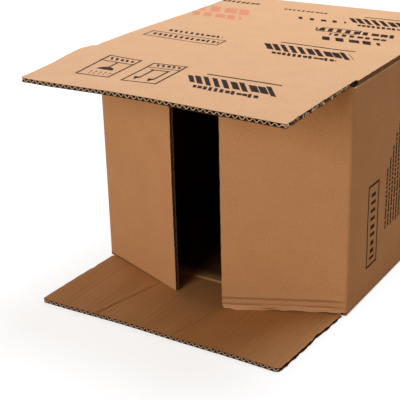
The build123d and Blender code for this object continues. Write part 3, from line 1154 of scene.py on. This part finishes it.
def make_bottom_flap():
    """Lies on the floor: crushed towards its score, creased, and its right edge uneven."""
    board = Board()
    half = OUTER_HALF
    length = OUTER_FLAP

    def crease(out):
        return -0.0720 - 0.190 * (out - 0.060)

    def outline(across, out, layer):
        grown = np.clip(out / length, 0, 1)
        left = -0.1715 - 0.0015 * grown + ragged(out, 5.0 + layer, 0.0003)
        left = left + 0.0012 * bell(out - 0.045, 0.005)
        right = 0.1752 - 0.0070 * grown + layer_edge(out, 3.7, layer, (0.0008, 0.0009, 0.0003))
        right = right - 0.0016 * bell(out - 0.060, 0.012) - (0.0003, 0.0, 0.0006)[layer]
        part = (across + half) / (2 * half)
        out = rounded(across, out, half, length, 1, 0.0060)
        out = rounded(across, out, half, length, -1, 0.0025)
        out = out + 0.0022 * grown * ramp(-across, 0.0, 0.17)
        out = out + layer_edge(across, 0.7, layer, (0.0002, 0.0003, 0.0)) * ramp(grown, 0.97, 1.0)
        return left + (right - left) * part, out

    def place(across, out, depth):
        pressed = bell(out, 0.0018)
        crushed = 0.24 * bell(np.clip(out, 0, None), 0.045)
        deep = depth * BOARD
        deep = deep - np.clip(deep - 0.001, 0, None) * (0.42 * pressed + crushed * (out > -0.004))
        dent = 0.0010 * bell(across - crease(out), 0.0024) * ramp(out, 0.03, 0.06)
        dent = dent + 0.0004 * bell(across - crease(out) - 0.112, 0.0014) * ramp(out, 0.07, 0.09)
        grown = np.clip(out / length, 0, 1)
        rise = 0.0005 * grown ** 2 * (1 + np.sin(11.0 * across + 2.2))
        rise = rise + 0.0003 * grown * (1 + np.sin(38 * across + 25 * out))
        return np.stack([across, OUTER_SCORE_Y - out, deep - dent * (depth > 0.5) + rise], -1)

    def to_sheet(places):
        return np.stack([BASE_LEFT - WIDTH / 2 - places[:, 0], OUTER_SCORE_Y - places[:, 1]], -1)

    creased = np.concatenate([np.arange(-0.096, -0.060, 0.0011), np.arange(0.016, 0.046, 0.0012)])
    lines = merged(spaced(-half, half, 0.0100), near_corners(half), creased)[::-1]

    def wear_and_shade_values(across, out):
        # The dark lines along the creases are painted shade and the pale line beside the first crease a
        # painted highlight; the score has a paler line.
        off = across - crease(out)
        worn = 0.55 * bell(out, 0.0013)
        worn = worn - 0.55 * bell(off, 0.0021) * ramp(out, 0.03, 0.06)
        worn = worn + 0.22 * bell(off + 0.0052, 0.0022) * ramp(out, 0.03, 0.06)
        worn = worn - 0.35 * bell(off - 0.112, 0.0011) * ramp(out, 0.07, 0.09)
        return worn * (1 - ramp(out, length - 0.0006, length - 0.0004)) + edge_shade(across, out)

    def edge_shade(across, out):
        # Painted shade along the flap's free edge.
        return -0.8 * ramp(out, length - 0.0004, length - 0.0001)

    add_flap_board(
        board, half, length, place, outline, to_sheet, lines, OUTER_ROOTS, OUTER_FLUTES_FROM,
        faces=(PLAIN, -1.0), worn=(edge_shade, wear_and_shade_values, 0.0),
    )
    return board.make("bottom_flap_board")


def make_side_flap(name, side, angle, shape, outline, wear_and_shade_values, paper_shade):
    """The left (-1) or right (1) flap, swung out from closed by an angle. Across runs up its score."""
    board = Board()
    half = SIDE_HALF
    middle = SIDE_LOW + half

    def trimmed(across, out, layer):
        across, out = outline(across, out, layer)
        return across + 0.0017 * ramp(across, half - 0.010, half) * (1 - ramp(out, 0.015, 0.045)), out

    hinge = (side * WIDTH / 2, SIDE_SCORE_Y)
    along = (-side * math.cos(angle), -math.sin(angle))
    outward = (side * math.sin(angle), -math.cos(angle))

    def place(across, out, depth):
        full = np.clip(np.abs(out) / BOARD, 0.14, 1.0)
        deep = depth * BOARD * full - shape(across, out, middle + across, depth)
        forward, back = np.clip(out, 0, None), np.clip(-out, 0, None)
        normal_x = np.where(out >= 0, outward[0], side)
        normal_y = np.where(out >= 0, outward[1], 0.0)
        shift_x, shift_y = score_shift(side, angle, np.abs(out))
        x = hinge[0] + along[0] * forward - normal_x * deep + shift_x
        y = hinge[1] + along[1] * forward + back - normal_y * deep + shift_y
        return np.stack([x, y, middle + across], -1)

    def to_sheet(places):
        height = middle + places[:, 0]
        u = BASE_RIGHT - height if side > 0 else BASE_LEFT + height
        return np.stack([u, SIDE_SCORE_Y - places[:, 1]], -1)

    lines = merged(spaced(-half, half, 0.0085), -half + np.arange(0.0, 0.018, 0.0008), near_corners(half))
    if side > 0:
        lines = lines[::-1]
    roots = np.concatenate([[-0.0012, -0.0008, -0.0004, -0.0002], np.arange(0, 0.0062, 0.0004)])
    add_flap_board(
        board, half, SIDE_FLAP, place, trimmed, to_sheet, lines, roots, SIDE_FLUTES_FROM,
        faces=(PLAIN, 0.0), worn=(wear_and_shade_values, wear_and_shade_values, paper_shade),
    )
    return board.make(name)


def soft_shape(across, out):
    """How far a side flap sways out of its plane."""
    grown = np.clip(out / SIDE_FLAP, 0, 1)
    return 0.0008 * grown * np.sin(15.0 * across + 1.0) + 0.0005 * grown * np.sin(24 * out + 11 * across)


def make_left_flap():
    """Its free edge is ragged, and it has no creases."""

    def shape(across, out, height, depth):
        return soft_shape(across, out)

    def outline(across, out, layer):
        grown = np.clip(out / SIDE_FLAP, 0, 1)
        cut = layer_edge(across, 2.2, layer, (0.0003, 0.0004, 0.0))
        return across, out + cut * ramp(grown, 0.97, 1.0)

    def wear_and_shade_values(across, out):
        # Painted shade along the free edge; the middle paper is painted in shade too, by the -0.85 below.
        return -0.75 * ramp(out, SIDE_FLAP - 0.0006, SIDE_FLAP - 0.0001)

    return make_side_flap("left_flap_board", -1, LEFT_FLAP_ANGLE, shape, outline, wear_and_shade_values, -0.85)


def make_right_flap():
    """Two creases run along its lower edge, where the printed liner has come loose in waves."""
    low, half = SIDE_LOW, SIDE_HALF

    def shape(across, out, height, depth):
        grown = ramp(out, 0.004, 0.02)
        dents = bell(height - 0.0205, 0.0016) + 0.8 * bell(height - 0.0120, 0.0013)
        edge = np.clip(1 - (height - low) / 0.006, 0, 1) ** 1.5
        loose = 0.0011 * (1 + np.sin(95 * out + 0.6)) * (0.4 + 0.6 * np.sin(41 * out) ** 2)
        return soft_shape(across, out) - 0.0014 * dents * grown + edge * loose * grown * (depth < 0.3)

    def outline(across, out, layer):
        grown = np.clip(out / SIDE_FLAP, 0, 1)
        new_out = rounded(across, out, half, SIDE_FLAP, -1, 0.0055)
        cut = layer_edge(across, 3.2, layer, (0.0003, 0.0004, 0.0))
        new_out = new_out + cut * ramp(grown, 0.97, 1.0)
        edge = np.clip(1 - (across + half) / 0.008, 0, 1) * ramp(out, 0.0, 0.012)
        wave = np.sin(88 * out + 0.4) + 0.6 * np.sin(201 * out + 1.9) - 0.2
        wave = (0.0013, 0.0008, 0.0002)[layer] * wave
        torn = 0.0022 * bell(out - 0.062, 0.010) * (1.0, 0.5, 0.0)[layer]
        return across + edge * (np.maximum(wave * 0.8, -0.0006) + torn), new_out

    def wear_and_shade_values(across, out):
        # The dark lines along the two creases and under the torn liner are painted shade, and the pale line
        # above the upper crease a painted highlight; the pale lower edge is the worn, loose liner.
        height = across + half + low
        worn = 1.0 * bell(height - low, 0.0022) * (0.35 + 0.65 * np.sin(70 * out + 1.0) ** 2)
        worn = worn - 0.70 * bell(height - 0.0200, 0.0013)
        worn = worn - (0.35 + 0.3 * np.sin(60 * out)) * bell(height - 0.0115, 0.0012)
        worn = worn + 0.50 * bell(height - 0.0225, 0.0011)
        worn = worn + 0.8 * bell(height - low - 0.0045, 0.0009) * np.sin(33 * out + 0.4) ** 4
        torn = bell(out - 0.096, 0.010) * bell(height - low - 0.0016, 0.0012)
        return (worn - 1.6 * torn) * ramp(out, 0.0, 0.012)

    return make_side_flap("right_flap_board", 1, RIGHT_FLAP_ANGLE, shape, outline, wear_and_shade_values, 0.0)


# Tape over the closed end

TAPE_WIDTH = 0.048
TAPE_RETURN = 0.058  # onto each side panel
TAPE_LIFT = 0.00022  # off the board
TAPE_THICKNESS = 0.00016
TAPE_ROWS = 25  # grid lines across it
TAPE_STEP = 0.004  # between grid lines along it


def make_tape():
    """One strip over the meeting edges of the outer flaps and round onto the side panels."""
    right_half = [
        (WIDTH / 2 + TAPE_LIFT, FAR_Y - TAPE_RETURN),
        (WIDTH / 2 + TAPE_LIFT, INNER_FAR_Y - 0.004),
        (WIDTH / 2 - 0.0015, INNER_FAR_Y + 0.0008),
        (WIDTH / 2 - SLOT, FAR_Y + TAPE_LIFT),
    ]
    path = [*right_half, (0.0, FAR_Y + TAPE_LIFT), *((-x, y) for x, y in reversed(right_half))]
    places = []
    for (x0, y0), (x1, y1) in zip(path, path[1:]):
        count = max(2, int(math.hypot(x1 - x0, y1 - y0) / TAPE_STEP))
        places += [(x0 + (x1 - x0) * k / count, y0 + (y1 - y0) * k / count) for k in range(count)]
    places.append(path[-1])
    points, faces = [], []
    last = len(places) - 1
    for index, (x, y) in enumerate(places):
        for row in range(TAPE_ROWS):
            z = HEIGHT / 2 + TAPE_WIDTH * (row / (TAPE_ROWS - 1) - 0.5)
            tooth = 0.0007 * (row % 2) * (index in (0, last))
            ripple = 0.00012 * (1 + math.sin(60 * x + 140 * z) * math.sin(300 * z + 30 * x))
            outward = (0, 1) if abs(x) < WIDTH / 2 - SLOT + 1e-6 and y > FAR_Y else (math.copysign(1, x), 0)
            points.append((x + outward[0] * ripple, y + outward[1] * ripple + tooth, z))
    for index in range(last):
        for row in range(TAPE_ROWS - 1):
            a = index * TAPE_ROWS + row
            faces.append((a, a + TAPE_ROWS, a + TAPE_ROWS + 1, a + 1))
    mesh = bpy.data.meshes.new("tape_strip")
    mesh.from_pydata(points, [], faces)
    mesh.materials.append(tape_film)
    strip = added("tape_strip", mesh)
    thick = strip.modifiers.new("film", "SOLIDIFY")
    thick.thickness = TAPE_THICKNESS
    thick.offset = 1.0
    solid = final_mesh(strip)
    strip.modifiers.clear()
    strip.data = solid
    bpy.data.meshes.remove(mesh)
    solid.name = "tape_strip"
    solid.polygons.foreach_set("use_smooth", [True] * len(solid.polygons))
    solid.set_sharp_from_angle(angle=math.radians(50))
    return strip


def upright(board, label):
    """Hides a side flap's solid and bakes its board's transform; the board's crushed score is bevelled on
    both sides.
    """
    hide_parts(label)
    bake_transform(board)


def flat(board, label):
    """Hides an outer flap's solid and bakes its board's transform."""
    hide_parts(label)
    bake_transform(board)


make_camera()
carton_board = make_carton_body()
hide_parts("carton_body")
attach(carton_board, "carton")
flat(make_top_flap(), "top_flap")
flat(make_bottom_flap(), "bottom_flap")
upright(make_right_flap(), "right_flap")
upright(make_left_flap(), "left_flap")
tape_strip = make_tape()
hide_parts("sealing_tape")
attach(tape_strip, "carton")


# Floor, light and background

FLOOR_REACH = 6.0
FLOOR_Z = -0.0002


def seen_by_camera(tree, light, view):
    """One shader for the light that it gives and another for what the camera sees."""
    by_camera = tree.nodes.new("ShaderNodeLightPath").outputs["Is Camera Ray"]
    return put(tree, "ShaderNodeMixShader", {"Fac": by_camera, 1: light, 2: view}).outputs[0]


def make_floor():
    """White to the camera, a little less so near the carton, and warm in the light that it sends back."""
    mesh = bpy.data.meshes.new("floor")
    corners = [(x * FLOOR_REACH, y * FLOOR_REACH, FLOOR_Z) for x, y in ((-1, -1), (1, -1), (1, 1), (-1, 1))]
    mesh.from_pydata(corners, [], [(0, 1, 2, 3)])
    floor = added("floor", mesh)
    material, tree, shader = start_material("pale_floor")
    shader.inputs["Base Color"].default_value = (0.54, 0.395, 0.255, 1)
    shader.inputs["Roughness"].default_value = 0.9
    shader.inputs["Specular IOR Level"].default_value = 0.0
    here = put(tree, "ShaderNodeTexCoord").outputs["Object"]
    away = put(tree, "ShaderNodeVectorMath", {0: here}, operation="LENGTH").outputs["Value"]
    strength = between(tree, away, 0.6, 3.0, 0.77, 1.0)
    glow = put(tree, "ShaderNodeEmission", {"Color": (1, 1, 1, 1), "Strength": strength})
    matt = put(tree, "ShaderNodeBsdfDiffuse", {"Color": (0.34, 0.355, 0.37, 1)})
    both = put(tree, "ShaderNodeAddShader", {0: glow.outputs[0], 1: matt.outputs[0]})
    seen = seen_by_camera(tree, shader.outputs[0], both.outputs[0])
    tree.links.new(seen, tree.nodes["Material Output"].inputs["Surface"])
    mesh.materials.append(material)


def make_world():
    """White to the camera, and a dim warm room to the light."""
    world = bpy.data.worlds.new("soft_room")
    bpy.context.scene.world = world
    world.use_nodes = True
    tree = world.node_tree
    tree.nodes.clear()
    white = put(tree, "ShaderNodeBackground", {"Color": (1, 1, 1, 1), "Strength": 1.0})
    room = put(tree, "ShaderNodeBackground", {"Color": (1, 0.66, 0.36, 1), "Strength": 0.18})
    seen = seen_by_camera(tree, room.outputs[0], white.outputs[0])
    tree.links.new(seen, tree.nodes.new("ShaderNodeOutputWorld").inputs["Surface"])


make_floor()
make_world()
area_light("overhead", (0.18, 0.54, 1.90), (0, 0, 0.1), size=1.15, power=29.5, colour=(0.95, 1.08, 1.26))
area_light("backdrop", (-1.9, 1.05, 1.3), (0, 0, 0.2), size=2.0, power=16.5, colour=(0.97, 1, 1.02))
area_light("front", (-0.17, -2.34, 0.94), (0, -0.1, 0.15), size=1.3, power=22.5, colour=(1, 0.89, 0.78))
bpy.context.scene.view_settings.view_transform = "Standard"
